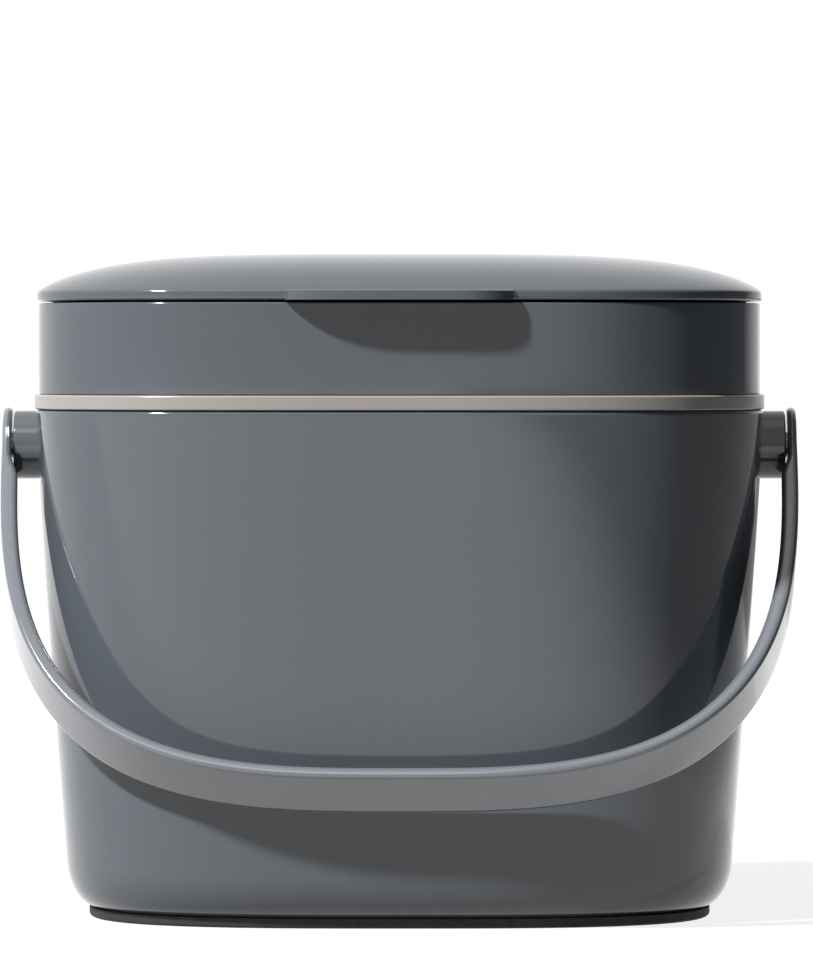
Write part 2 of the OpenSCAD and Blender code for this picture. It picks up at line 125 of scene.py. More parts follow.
FOOT_IN = wall_in(BASE_Z) + CORNER_IN - FOOT_PROUD
TONGUE_IN = FOOT_IN + (FOOT_BAND + FOOT_PROUD - TONGUE_W) / 2
HINGE_Y = HALF_D - LID_IN + HINGE_GAP + KNUCKLE_R
EYE_X = HALF_W + BOSS_LEN + EYE_GAP
HANDLE_X = EYE_X + EYE_T
GRIP_IN = HANDLE_REACH - GRIP_T
GRIP_R = math.hypot(GRIP_IN, GRIP_W / 2)
GRIP_LOW = PIVOT_Z - math.sqrt(GRIP_R ** 2 - HALF_D ** 2)
HANG = math.atan2(GRIP_W / 2, GRIP_IN) + math.asin(
    (HALF_D - wall_in(GRIP_LOW) + GRIP_GAP) / GRIP_R)


def neck_in(h):
    """Inset of the neck's outside at height h above the flange."""
    if h < WAIST_H:
        return NECK_WAIST_IN - (NECK_WAIST_IN - NECK_FOOT_IN) * (1 - h / WAIST_H) ** 3
    share = (h - WAIST_H) / (NECK_H - WAIST_H)
    return NECK_WAIST_IN - (NECK_WAIST_IN - NECK_TOP_IN) * share ** 2


def skirt_in(drop):
    """Inset of the skirt's outside at a drop below the flange."""
    return BIN_WALL + SKIRT_GAP + SKIRT_DRAFT * drop / SKIRT_H


def edge_depth(x, inset):
    """How far in front of the middle a wall at that inset runs at x."""
    share = min(1, abs(x) / (HALF_W - inset))
    return (HALF_D - inset) * (1 - share ** PLAN_POWER) ** (1 / PLAN_POWER)


# ---- shaping tools ----

def edges_at(verts):
    """The edges that meet at some vertices, each once and in order."""
    return list(dict.fromkeys(edge for vert in verts for edge in vert.link_edges))


def faces_at(verts):
    """The faces that meet at some vertices, each once and in order."""
    return list(dict.fromkeys(face for vert in verts for face in vert.link_faces))


def draw_profile(bm, corners, closed=False):
    """Draws a wall's section in the XZ plane through corners of (inset, height, rounding)."""
    verts = [bm.verts.new((HALF_W - inset, 0, z)) for inset, z, _ in corners]
    for a, b in zip(verts, verts[1:]):
        bm.edges.new((a, b))
    if closed:
        bm.edges.new((verts[-1], verts[0]))
    round_corners(bm, verts, [corner[2] for corner in corners])


def round_corners(bm, verts, radii, segments=5):
    """Rounds the corners of a wire, each by its own radius."""
    for vert, radius in zip(verts, radii):
        if radius:
            bmesh.ops.bevel(bm, geom=[vert], offset=radius, offset_type="OFFSET", segments=segments,
                            profile=0.5, affect="VERTICES", material=-1)


def spin_wall(bm, core):
    """Turns a section into a full wall, then squares it to the caddy's plan.

    Down to the inset called core the wall stays parallel to the rim, and the rest closes in
    evenly to the middle."""
    bmesh.ops.spin(bm, geom=bm.verts[:] + bm.edges[:], cent=(0, 0, 0), axis=(0, 0, 1),
                   dvec=(0, 0, 0), angle=2 * math.pi, steps=ROUND_STEPS, use_merge=True)
    bmesh.ops.remove_doubles(bm, verts=bm.verts, dist=WELD)
    for vert in bm.verts:
        across = math.hypot(vert.co.x, vert.co.y)
        if across < NEAR:
            continue
        c, s = vert.co.x / across, vert.co.y / across
        inset = HALF_W - across
        ahead = HALF_D - inset if inset <= core else (HALF_D - core) * across / (HALF_W - core)
        k = (abs(c) ** PLAN_POWER + abs(s) ** PLAN_POWER) ** (-1 / PLAN_POWER)
        vert.co.x, vert.co.y = across * k * c, ahead * k * s


def turn_bar(bm, corners, centre, closed=False, steps=96):
    """Turns a bar or barrel about the X axis through centre.

    Its corners are (x, radius, rounding), and its vertices come back."""
    verts = [bm.verts.new((x, centre[0], centre[1] + r)) for x, r, _ in corners]
    edges = [bm.edges.new(pair) for pair in zip(verts, verts[1:])]
    if closed:
        edges.append(bm.edges.new((verts[-1], verts[0])))
    before = set(bm.verts) - set(verts)
    round_corners(bm, verts, [corner[2] for corner in corners], segments=3)
    drawn = [v for v in bm.verts if v not in before]
    bmesh.ops.spin(bm, geom=drawn + edges_at(drawn), cent=(0, *centre), axis=(1, 0, 0), dvec=(0, 0, 0),
                   angle=2 * math.pi, steps=steps, use_merge=True)
    made = [v for v in bm.verts if v not in before]
    bmesh.ops.remove_doubles(bm, verts=made, dist=WELD)
    return [v for v in bm.verts if v not in before]


def mirror_over(bm, verts, axis):
    """Adds the mirror image of an island, over the plane through the middle."""
    copied = bmesh.ops.duplicate(bm, geom=verts + faces_at(verts))["geom"]
    twins = [g for g in copied if isinstance(g, bmesh.types.BMVert)]
    bmesh.ops.scale(bm, vec=(-1, 1, 1) if axis == "X" else (1, -1, 1), verts=twins)


def cut_block(bm, outline, depth, rounding):
    """Extrudes a flat outline by depth, eases its edges and gives back its vertices."""
    before = set(bm.verts)
    face = bm.faces.new([bm.verts.new(p) for p in outline])
    made = bmesh.ops.extrude_face_region(bm, geom=[face])["geom"]
    bmesh.ops.translate(bm, vec=depth, verts=[g for g in made if isinstance(g, bmesh.types.BMVert)])
    block = [v for v in bm.verts if v not in before]
    bmesh.ops.bevel(bm, geom=edges_at(block), offset=rounding, offset_type="OFFSET", segments=2,
                    profile=0.5, affect="EDGES", material=-1)
    return [v for v in bm.verts if v not in before]


def front_half(bm):
    """Keeps the front half of a wall, so that its details are made once."""
    bmesh.ops.delete(bm, geom=[v for v in bm.verts if v.co.y > NEAR], context="VERTS")


def whole_again(bm):
    """Joins a front half to its mirror image at the back."""
    bmesh.ops.mirror(bm, geom=bm.verts[:] + bm.edges[:] + bm.faces[:], matrix=Matrix.Identity(4),
                     merge_dist=NEAR, axis="Y")


def finish_piece(bm, node, body, material):
    """Makes the finished piece, with outward faces, at real size and in its place in the frame."""
    bmesh.ops.remove_doubles(bm, verts=bm.verts, dist=WELD)
    bmesh.ops.recalc_face_normals(bm, faces=bm.faces)
    for edge in bm.edges:
        edge.smooth = edge.calc_face_angle(0) < math.radians(SHARP_EDGE)
    bmesh.ops.scale(bm, vec=(MM, MM, MM), verts=bm.verts)
    mesh = bpy.data.meshes.new(node + "_moulding")
    bm.to_mesh(mesh)
    bm.free()
    mesh.shade_smooth()
    mesh.materials.append(material)
    piece = bpy.data.objects.new(node + "_moulding", mesh)
    bpy.context.collection.objects.link(piece)
    shading = piece.modifiers.new("even_shading", "WEIGHTED_NORMAL")
    shading.keep_sharp = True
    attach(piece, body)
    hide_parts(node)
    return piece


# ---- finishes ----

def hex_colour(code):
    """The linear colour of an sRGB hex value."""
    parts = [int(code[i:i + 2], 16) / 255 for i in (1, 3, 5)]
    return [p / 12.92 if p <= 0.04045 else ((p + 0.055) / 1.055) ** 2.4 for p in parts] + [1]


def add_node(tree, kind, inputs=None, **settings):
    """Adds a node with its settings, and sets or links its inputs."""
    node = tree.nodes.new(kind)
    for name, value in settings.items():
        setattr(node, name, value)
    for name, value in (inputs or {}).items():
        if isinstance(value, bpy.types.NodeSocket):
            tree.links.new(value, node.inputs[name])
        else:
            node.inputs[name].default_value = value
    return node


def per_metre(millimetres):
    """Scale of a pattern that repeats at a real size."""
    return 1000 / millimetres


def moulded(name, shades, gloss, patch_mm, grain_mm, grain_depth_mm, wave_mm, wave_depth_mm,
            ior, coat=0, coat_roughness=0.03, milky=0):
    """A moulded plastic or rubber.

    Its colour drifts between two shades over patch_mm, its roughness between the two values of
    gloss, and its skin has a fine grain over a long shallow wave."""
    material = bpy.data.materials.new(name)
    material.use_nodes = True
    tree = material.node_tree
    tree.nodes.clear()
    place = add_node(tree, "ShaderNodeTexCoord").outputs["Object"]
    drift = add_node(tree, "ShaderNodeTexNoise",
                     {"Vector": place, "Scale": per_metre(patch_mm), "Detail": 3, "Roughness": 0.5})
    colour = add_node(tree, "ShaderNodeMix",
                      {0: drift.outputs["Fac"], 6: hex_colour(shades[0]), 7: hex_colour(shades[1])},
                      data_type="RGBA")
    handling = add_node(tree, "ShaderNodeTexNoise",
                        {"Vector": place, "Scale": per_metre(patch_mm / 3), "Detail": 5,
                         "Roughness": 0.5})
    dull = add_node(tree, "ShaderNodeMapRange",
                    {"Value": handling.outputs["Fac"], "From Min": 0.3, "From Max": 0.7,
                     "To Min": gloss[0], "To Max": gloss[1]})
    wave = add_node(tree, "ShaderNodeTexNoise",
                    {"Vector": place, "Scale": per_metre(wave_mm), "Detail": 1})
    swell = add_node(tree, "ShaderNodeBump",
                     {"Height": wave.outputs["Fac"], "Strength": 1, "Distance": wave_depth_mm * MM})
    grain = add_node(tree, "ShaderNodeTexNoise",
                     {"Vector": place, "Scale": per_metre(grain_mm), "Detail": 2})
    skin = add_node(tree, "ShaderNodeBump",
                    {"Height": grain.outputs["Fac"], "Strength": 1, "Distance": grain_depth_mm * MM,
                     "Normal": swell.outputs["Normal"]})
    shader = add_node(tree, "ShaderNodeBsdfPrincipled",
                      {"Base Color": colour.outputs[2], "Roughness": dull.outputs["Result"],
                       "IOR": ior, "Normal": skin.outputs["Normal"], "Coat Weight": coat,
                       "Coat Roughness": coat_roughness, "Subsurface Weight": milky,
                       "Subsurface Radius": (1, 0.9, 0.8), "Subsurface Scale": 0.0015})
    add_node(tree, "ShaderNodeOutputMaterial", {"Surface": shader.outputs["BSDF"]})
    return material


# Polished-tool ABS: a deep slate charcoal with a wet gloss and the faintest orange peel
glossy_abs = moulded("slate_abs_polished_tool", ("#4c5157", "#50555b"), (0.05, 0.085),
                     patch_mm=60, grain_mm=1.4, grain_depth_mm=0.002, wave_mm=26,
                     wave_depth_mm=0.02, ior=1.54)
# The handle's ABS: the same charcoal painted a shade lighter, standing in for the light its strap
# catches, and softer in gloss
handle_abs_painted_lighter = moulded("slate_abs_painted_lighter", ("#5e6269", "#64686f"), (0.14, 0.2),
                     patch_mm=40, grain_mm=1.2, grain_depth_mm=0.003, wave_mm=20,
                     wave_depth_mm=0.02, ior=1.54, coat=0.9)
# Polypropylene from a semi-gloss tool: a warm grey that is a little milky at its edges
warm_pp = moulded("warm_grey_polypropylene", ("#918c87", "#95908b"), (0.18, 0.22),
                  patch_mm=50, grain_mm=1.2, grain_depth_mm=0.002, wave_mm=22,
                  wave_depth_mm=0.015, ior=1.49, milky=0.05)
# Polypropylene from a spark-eroded tool: the same charcoal, flat and finely textured
satin_pp = moulded("charcoal_polypropylene_spark_texture", ("#4b4f56", "#50545b"), (0.36, 0.48),
                   patch_mm=45, grain_mm=0.5, grain_depth_mm=0.012, wave_mm=24,
                   wave_depth_mm=0.02, ior=1.49)
# Thermoplastic rubber: nearly black and dull, with a dry drag in its skin
foot_tpe = moulded("black_thermoplastic_rubber", ("#101112", "#151617"), (0.7, 0.85),
                   patch_mm=18, grain_mm=0.6, grain_depth_mm=0.015, wave_mm=14,
                   wave_depth_mm=0.02, ior=1.5)
# Silicone: dark grey, soft and slightly waxy
seal_silicone = moulded("dark_grey_silicone", ("#303235", "#36383b"), (0.38, 0.5),
                        patch_mm=16, grain_mm=0.6, grain_depth_mm=0.006, wave_mm=12,
                        wave_depth_mm=0.015, ior=1.41)


def turned_steel(name):
    """Centreless-ground stainless steel: bright, with fine rings round the pin."""
    material = bpy.data.materials.new(name)
    material.use_nodes = True
    tree = material.node_tree
    tree.nodes.clear()
    place = add_node(tree, "ShaderNodeTexCoord").outputs["Object"]
    rings = add_node(tree, "ShaderNodeMapping",
                     {"Vector": place, "Scale": (per_metre(0.4), per_metre(8), per_metre(8))})
    grind = add_node(tree, "ShaderNodeTexNoise",
                     {"Vector": rings.outputs["Vector"], "Scale": 1, "Detail": 3})
    colour = add_node(tree, "ShaderNodeMix",
                      {0: grind.outputs["Fac"], 6: hex_colour("#b9bcc0"), 7: hex_colour("#cdd0d3")},
                      data_type="RGBA")
    dull = add_node(tree, "ShaderNodeMapRange",
                    {"Value": grind.outputs["Fac"], "To Min": 0.18, "To Max": 0.34})
    lines = add_node(tree, "ShaderNodeBump",
                     {"Height": grind.outputs["Fac"], "Strength": 1, "Distance": 0.004 * MM})
    shader = add_node(tree, "ShaderNodeBsdfPrincipled",
                      {"Base Color": colour.outputs[2], "Metallic": 1,
                       "Roughness": dull.outputs["Result"], "Normal": lines.outputs["Normal"]})
    add_node(tree, "ShaderNodeOutputMaterial", {"Surface": shader.outputs["BSDF"]})
    return material


pin_steel = turned_steel("ground_stainless_steel")


# ---- bin and foot ----

def make_bin():
    """The tapered bin: full-round rim, rolled base corner, foot groove and two pivot bosses."""
    bm = bmesh.new()
    roll_steps, wall_rows = 12, 16
    groove = (TONGUE_IN + TONGUE_W + GROOVE_GAP, TONGUE_IN - GROOVE_GAP)
    groove_top = BASE_Z + TONGUE_H + GROOVE_GAP
    base = [(HALF_W, BASE_Z, 0), (groove[0], BASE_Z, 0.2), (groove[0], groove_top, 0.2),
            (groove[1], groove_top, 0.2), (groove[1], BASE_Z, 0.2)]
    roll = []
    for i in range(roll_steps + 1):
        turn = math.radians(90 * i / roll_steps)
        z = CORNER_Z - CORNER_H * math.cos(turn)
        roll.append((wall_in(z) + CORNER_IN * (1 - math.sin(turn)), z, 0))
    walls = [CORNER_Z + (BIN_H - CORNER_Z) * i / wall_rows for i in range(1, wall_rows)]
    rim = [(0, BIN_H, BIN_RIM_OUTER_R), (BIN_WALL, BIN_H, BIN_RIM_INNER_R)]
    inner_roll = []
    for i in range(roll_steps, -1, -1):
        turn = math.radians(90 * i / roll_steps)
        z = CORNER_Z - (CORNER_H - BIN_FLOOR) * math.cos(turn)
        inner_roll.append(
            (wall_in(z) + BIN_WALL + (CORNER_IN - BIN_WALL) * (1 - math.sin(turn)), z, 0))
    draw_profile(bm, base + roll + [(wall_in(z), z, 0) for z in walls] + rim
                 + [(wall_in(z) + BIN_WALL, z, 0) for z in reversed(walls)] + inner_roll
                 + [(HALF_W, BASE_Z + BIN_FLOOR, 0)])
    spin_wall(bm, BIN_CORE)
    root_x = HALF_W - BIN_WALL * 0.9
    face_x = HALF_W + BOSS_LEN
    bore_x = face_x - STUB_LEN - CHAMFER
    bore_r = STUB_D / 2 + STUB_FIT
    boss = turn_bar(bm, [(root_x, 0, 0), (root_x, BOSS_R, 0), (face_x, BOSS_R, CHAMFER),
                         (face_x, bore_r, 0.3), (bore_x, bore_r, 0), (bore_x, 0, 0)],
                    (0, PIVOT_Z))
    mirror_over(bm, boss, "X")
    return finish_piece(bm, "bin", "bin", glossy_abs)


def make_foot_ring():
    """The soft foot ring with the tongue that holds it in the base."""
    bm = bmesh.new()
    draw_profile(bm, [(FOOT_IN, 0, FOOT_R), (FOOT_IN, FOOT_H, 0.4), (TONGUE_IN, FOOT_H, 0),
                      (TONGUE_IN, FOOT_H + TONGUE_H, 0.3),
                      (TONGUE_IN + TONGUE_W, FOOT_H + TONGUE_H, 0.3),
                      (TONGUE_IN + TONGUE_W, FOOT_H, 0), (FOOT_IN + FOOT_BAND, FOOT_H, 0.4),
                      (FOOT_IN + FOOT_BAND, 0, FOOT_R)], closed=True)
    spin_wall(bm, FOOT_CORE)
    return finish_piece(bm, "foot_ring", "bin", foot_tpe)


# ---- bag ring ----

def neck_y(x, z):
    """Front of the neck at x and height z."""
    return -edge_depth(x, neck_in(z - FLANGE_Z))


def open_bag_hole(bm):
    """Cuts the bag hole through the front of the neck, with a raised bead round its outside."""
    bmesh.ops.recalc_face_normals(bm, faces=bm.faces)
    patch_w, patch_h = 13.2, 12     # half width and height of the cleared patch
    fillet, step = 0.25, 0.08       # the bead's foot on the neck, and the height its round starts at
    bead_steps, bead_fullness = 9, 0.6

    def skin_loop(outward):
        """Clears one skin round the hole and returns the rim of the opening."""
        faces = [f for f in bm.faces
                 if abs(f.calc_center_median().x) < patch_w
                 and abs(f.calc_center_median().z - HOLE_Z) < patch_h
                 and (-f.normal.y if outward else f.normal.y) > 0.5]
        edges = dict.fromkeys(e for f in faces for e in f.edges)
        rim = [e for e in edges if any(g not in faces for g in e.link_faces)]
        bmesh.ops.delete(bm, geom=faces, context="FACES")
        return [e for e in rim if e.is_valid]

    def ring_at(radius, count):
        """A circle of edges laid on the neck."""
        turned = Matrix.Translation((0, 0, HOLE_Z)) @ Matrix.Rotation(math.pi / 2, 4, "X")
        verts = bmesh.ops.create_circle(bm, segments=count, radius=radius, matrix=turned)["verts"]
        for vert in verts:
            vert.co.y = neck_y(vert.co.x, vert.co.z)
        return edges_at(verts)

    hole_r = HOLE_D / 2
    outer_rim = skin_loop(True)
    inner_rim = skin_loop(False)
    count = len(outer_rim)
    edges = ring_at(hole_r + BEAD_W + fillet, count)
    bmesh.ops.bridge_loops(bm, edges=outer_rim + edges)
    bead = [(BEAD_W, step)]
    for i in range(1, bead_steps):
        turn = math.pi * i / bead_steps
        bead.append((BEAD_W / 2 * (1 + math.cos(turn)),
                     BEAD_PROUD * math.sin(turn) ** bead_fullness))
    bead += [(0, step), (0, -RING_WALL / 2), (0, fillet - RING_WALL), (fillet, -RING_WALL)]
    for out, lift in bead:
        made = bmesh.ops.extrude_edge_only(bm, edges=edges)["geom"]
        edges = [g for g in made if isinstance(g, bmesh.types.BMEdge) and len(g.link_faces) == 1]
        for vert in {v for e in edges for v in e.verts}:
            away = Vector((vert.co.x, 0, vert.co.z - HOLE_Z)).normalized() * (hole_r + out)
            vert.co = (away.x, 0, HOLE_Z + away.z)
            vert.co.y = neck_y(vert.co.x, vert.co.z) - lift
    bmesh.ops.bridge_loops(bm, edges=inner_rim + edges)


def raise_ribs(bm):
    """Raises a grip rib round each front corner of the skirt, with soft ends."""
    bmesh.ops.recalc_face_normals(bm, faces=bm.faces)
    low, high = BIN_H - RIB_DROP - RIB_H, BIN_H - RIB_DROP
    for side in (-1, 1):
        faces = []
        for face in bm.faces:
            middle = face.calc_center_median()
            outward = face.normal.x * middle.x + face.normal.y * middle.y > 0
            if low < middle.z < high and RIB_FROM < side * middle.x < RIB_TO and outward:
                faces.append(face)
        bmesh.ops.inset_region(bm, faces=faces, thickness=RIB_SLOPE, depth=RIB_PROUD,
                               use_boundary=True, use_even_offset=True)


def make_bag_ring():
    """The bag ring: a waisted neck over a flange, with a skirt that drops into the bin."""
    bm = bmesh.new()
    # Rows over the flange: close together where the neck curls in, then even up to the mouth
    curl, top, upper_rows = [0.8, 2.3, 3.9], NECK_H - 1.9, 8
    rows = curl + [curl[-1] + (top - curl[-1]) * i / upper_rows for i in range(1, upper_rows + 1)]
    low, high = BIN_H - RIB_DROP - RIB_H, BIN_H - RIB_DROP
    foot_z = BIN_H - SKIRT_H
    outside = [(skirt_in(SKIRT_H), foot_z, 0.5), (skirt_in(BIN_H - low), low, 0),
               (skirt_in(BIN_H - high), high, 0), (skirt_in(0), BIN_H, 0.3),
               (-FLANGE_PROUD, BIN_H, 0.5), (-FLANGE_PROUD, FLANGE_Z, 0.7),
               (NECK_FOOT_IN, FLANGE_Z, 0.6)]
    neck = [(neck_in(h), FLANGE_Z + h, 0) for h in rows]
    mouth = [(NECK_TOP_IN, NECK_Z, 0.7), (NECK_TOP_IN + RING_WALL, NECK_Z, 0.7)]
    inside = [(neck_in(h) + RING_WALL, FLANGE_Z + h, 0) for h in reversed(rows)]
    draw_profile(bm, outside + neck + mouth + inside
                 + [(NECK_FOOT_IN + RING_WALL, FLANGE_Z, 0),
                    (skirt_in(SKIRT_H) + RING_WALL, foot_z, 0.5)], closed=True)
    spin_wall(bm, RING_CORE)
    front_half(bm)
    open_bag_hole(bm)
    raise_ribs(bm)
    face_y = NECK_FOOT_IN - TAB_PROUD - HALF_D
    back_y = NECK_FOOT_IN + RING_WALL * 0.8 - HALF_D
    low_z = FLANGE_Z - 0.4
    corner = TAB_H / 2
    outline = [(-TAB_W / 2, face_y, low_z), (TAB_W / 2, face_y, low_z)]
    for side, start in ((1, 0), (-1, 90)):
        for i in range(7):
            turn = math.radians(start + 15 * i)
            outline.append((side * (TAB_W / 2 - corner) + corner * math.cos(turn), face_y,
                            FLANGE_Z + corner + corner * math.sin(turn)))
    cut_block(bm, outline, (0, back_y - face_y, 0), 0.45)
    whole_again(bm)
    return finish_piece(bm, "bag_ring", "bag_ring", warm_pp)


# ---- lid rim, lid and hinge ----

def make_lid_rim():
    """The sleeve on the bag ring's flange, with its ledge, notches and hinge knuckles."""
    bm = bmesh.new()
    wall_rows = 6
    notch_top = FLANGE_Z + TAB_H + NOTCH_GAP
    walls = [FLANGE_Z + RIM_H * i / wall_rows for i in range(1, wall_rows)]
    draw_profile(bm, [(RIM_INNER_IN, FLANGE_Z, 0.3), (RIM_IN, FLANGE_Z, CHAMFER)]
                 + [(RIM_IN, z, 0) for z in walls]
                 + [(RIM_IN, RIM_Z, CHAMFER), (LEDGE_IN, RIM_Z, 0.5), (LEDGE_IN, LEDGE_Z, 0.5),
                    (RIM_INNER_IN, LEDGE_Z, 0.4), (RIM_INNER_IN, notch_top, 0)], closed=True)
    spin_wall(bm, RING_CORE)
    front_half(bm)
    bmesh.ops.recalc_face_normals(bm, faces=bm.faces)
    notch_x = TAB_W / 2 + NOTCH_GAP
    beside = 6

    def inner_skin():
        """Inner faces of the sleeve at the notch and beside it."""
        return [f for f in bm.faces if f.normal.y > 0.5 and f.calc_center_median().z < notch_top
                and abs(f.calc_center_median().x) < notch_x + beside]

    for side in (-1, 1):
        faces = inner_skin()
        geom = list(dict.fromkeys(g for f in faces for g in [f, *f.edges, *f.verts]))
        bmesh.ops.bisect_plane(bm, geom=geom, dist=0.0001, plane_co=(side * notch_x, 0, 0),
                               plane_no=(1, 0, 0))
    notch = [f for f in inner_skin() if abs(f.calc_center_median().x) < notch_x]
    made = bmesh.ops.extrude_face_region(bm, geom=notch)["geom"]
    bmesh.ops.delete(bm, geom=notch, context="FACES")
    bmesh.ops.translate(bm, vec=(0, -NOTCH_DEEP, 0),
                        verts=[g for g in made if isinstance(g, bmesh.types.BMVert)])
    whole_again(bm)
    wall_y = HALF_D - RIM_IN - RIM_WALL / 2
    low = KNUCKLE_R * math.sqrt(0.5)
    inner_x = LID_KNUCKLE_W / 2 + KNUCKLE_GAP
    width = HINGE_W / 2 - inner_x
    sink = 0.2      # keeps the gusset's corner inside the knuckle
    gusset = cut_block(bm, [(inner_x, wall_y, RIM_Z), (inner_x, HINGE_Y - KNUCKLE_R * 0.6, RIM_Z),
                            (inner_x, HINGE_Y + low - sink, HINGE_Z - low - sink),
                            (inner_x, HINGE_Y - low, HINGE_Z - low * 3),
                            (inner_x, wall_y, HINGE_Z - low * 5)], (width, 0, 0), 0.3)
    mirror_over(bm, gusset, "X")
    bore = PIN_D / 2 + PIN_TIGHT
    knuckle = turn_bar(bm, [(inner_x, bore, 0.15), (inner_x, KNUCKLE_R, 0.4),
                            (HINGE_W / 2, KNUCKLE_R, 0.5), (HINGE_W / 2, bore, 0.15)],
                       (HINGE_Y, HINGE_Z), closed=True, steps=64)
    mirror_over(bm, knuckle, "X")
    return finish_piece(bm, "lid_rim", "lid_rim", glossy_abs)


def dome_height(share, rise):
    """Height of a dome above its edge, where share is 1 at the edge and 0 at the crown."""
    return rise * max(0, 1 - share ** DOME_POWER) ** DOME_ROUND


def dome_row(edge_in, z, rise, share):
    """Corner of a dome's section at a share of its edge's size."""
    return (HALF_W - (HALF_W - edge_in) * share, z + dome_height(share, rise), 0)


def thumb_swell(x):
    """How far the thumb lip reaches forward of the lid's edge at x."""
    return THUMB_REACH * math.sqrt(max(0, 1 - abs(2 * x / THUMB_W) ** THUMB_POWER))


def add_thumb_lip(bm):
    """The thumb lip: a plate that carries the lid's lip forward and flows up into the dome."""
    before = set(bm.verts)
    bmesh.ops.create_grid(bm, x_segments=96, y_segments=16, size=1)
    plate = [v for v in bm.verts if v not in before]
    for vert in plate:
        x = THUMB_W / 2 * math.sin(math.pi / 2 * vert.co.x)
        root = edge_depth(x, LID_IN) - THUMB_ROOT
        out = (thumb_swell(x) + THUMB_ROOT) * (vert.co.y + 1) / 2
        climb = THUMB_CLIMB * max(0, 1 - out / THUMB_FLOW) ** 2.6
        vert.co = (x, -root - out, DOME_Z + climb)
    made = bmesh.ops.extrude_face_region(bm, geom=faces_at(plate))["geom"]
    for vert in plate:
        vert.co.z = LIP_Z
    raised = [g for g in made if isinstance(g, bmesh.types.BMVert)]

    def front_edges(verts):
        """Edges of the plate's front outline among some vertices."""
        tips = [v for v in verts
                if abs(v.co.y + edge_depth(v.co.x, LID_IN) + thumb_swell(v.co.x)) < 0.01]
        return [e for e in edges_at(tips) if all(v in tips for v in e.verts)]

    for edges, rounding in ((front_edges(raised), 0.45), (front_edges(plate), 1.2)):
        bmesh.ops.bevel(bm, geom=edges, offset=rounding, offset_type="OFFSET", segments=4,
                        profile=0.5, affect="EDGES", material=-1, clamp_overlap=True)


def make_lid():
    """The domed lid with its upright lip, thumb lip, liner shoulder and hinge knuckle."""
    bm = bmesh.new()
    inner_in = LID_INNER_IN + SHOULDER_W
    inner_rise = DOME_Z + DOME_H - LID_WALL - SHOULDER_Z
    # Rows of the dome, close together at the edge, where it turns fastest
    dome_rows, reach = 26, 0.985
    shares = [1 - reach * (i / dome_rows) ** 1.7 for i in range(dome_rows + 1)]
    outer_dome = [dome_row(LID_IN, DOME_Z, DOME_H, s) for s in reversed(shares)]
    outer_dome[-1] = (LID_IN, DOME_Z, 0.4)
    inner_dome = [dome_row(inner_in, SHOULDER_Z, inner_rise, s) for s in shares]
    draw_profile(bm, [(HALF_W, DOME_Z + DOME_H, 0)] + outer_dome
                 + [(LID_IN, LIP_Z, 0.8), (LID_INNER_IN, LIP_Z, 0.4),
                    (LID_INNER_IN, SHOULDER_Z, 0.2)] + inner_dome
                 + [(HALF_W, SHOULDER_Z + inner_rise, 0)])
    spin_wall(bm, LID_CORE)
    add_thumb_lip(bm)
    back_y = HALF_D - LID_IN - LID_WALL / 2
    half = LID_KNUCKLE_W / 2
    cut_block(bm, [(-half, back_y, LIP_Z), (half, back_y, LIP_Z), (half, HINGE_Y, LIP_Z),
                   (-half, HINGE_Y, LIP_Z)], (0, 0, LIP_H), 0.4)
    bore = PIN_D / 2 + PIN_FREE
    turn_bar(bm, [(-half, bore, 0.15), (-half, KNUCKLE_R, 0.4), (half, KNUCKLE_R, 0.4),
                  (half, bore, 0.15)], (HINGE_Y, HINGE_Z), closed=True, steps=64)
    return finish_piece(bm, "lid", "lid", glossy_abs)


def make_lid_liner():
    """The liner under the lid: a flange on its shoulder and a plug that drops into the mouth."""
    bm = bmesh.new()
    plug_z = RIM_Z - PLUG_DROP
    panel_z = plug_z + PANEL_UP
    foot_in = PLUG_IN + 2 * LINER_T / 3 + CHAMFER
    draw_profile(bm, [(HALF_W, panel_z, 0), (foot_in + CHAMFER, panel_z, 0.5),
                      (foot_in, plug_z, 0.3), (PLUG_IN, plug_z, 0.5), (PLUG_IN, LINER_Z, 0.3),
                      (LINER_IN, LINER_Z, 0.3), (LINER_IN, SHOULDER_Z, 0.3),
                      (PLUG_IN + LINER_T, SHOULDER_Z, 0.5),
                      (PLUG_IN + LINER_T + CHAMFER, panel_z + LINER_T, 0.5),
                      (HALF_W, panel_z + LINER_T, 0)])
    spin_wall(bm, RING_CORE)
    return finish_piece(bm, "lid_liner", "lid", satin_pp)


def make_lid_seal():
    """The seal: a flat band under the liner with a soft round bead that meets the ledge."""
    bm = bmesh.new()
    outer = LID_INNER_IN + SHOULDER_W + CHAMFER
    inner = PLUG_IN - LINER_GAP
    bead_outer = (outer + LEDGE_IN - SEAL_BEAD) / 2
    bead_inner = bead_outer + SEAL_BEAD
    band_z = RIM_Z + SEAL_T / 2
    draw_profile(bm, [(outer, LINER_Z, 0.2), (outer, band_z, 0.3), (bead_outer, band_z, 0),
                      (bead_outer, RIM_Z, 0.8), (bead_inner, RIM_Z, 0.8), (bead_inner, band_z, 0),
                      (inner, band_z, 0.3), (inner, LINER_Z, 0.2)], closed=True)
    spin_wall(bm, RING_CORE)
    return finish_piece(bm, "lid_seal", "lid", seal_silicone)


def make_hinge_pin():
    """The steel hinge pin, with its ends rounded off."""
    bm = bmesh.new()
    end = HINGE_W / 2 - CHAMFER
    turn_bar(bm, [(-end, 0, 0), (-end, PIN_D / 2, 0.3), (end, PIN_D / 2, 0.3), (end, 0, 0)],
             (HINGE_Y, HINGE_Z), steps=48)
    return finish_piece(bm, "hinge_pin", "lid_rim", pin_steel)


# ---- handle ----

def hang_point(across, down, ahead):
    """A point of the hanging bail: across, down the arm, and out through its front edge."""
    return Vector((across, -down * math.sin(HANG) - ahead * math.cos(HANG),
                   PIVOT_Z - down * math.cos(HANG) + ahead * math.sin(HANG)))


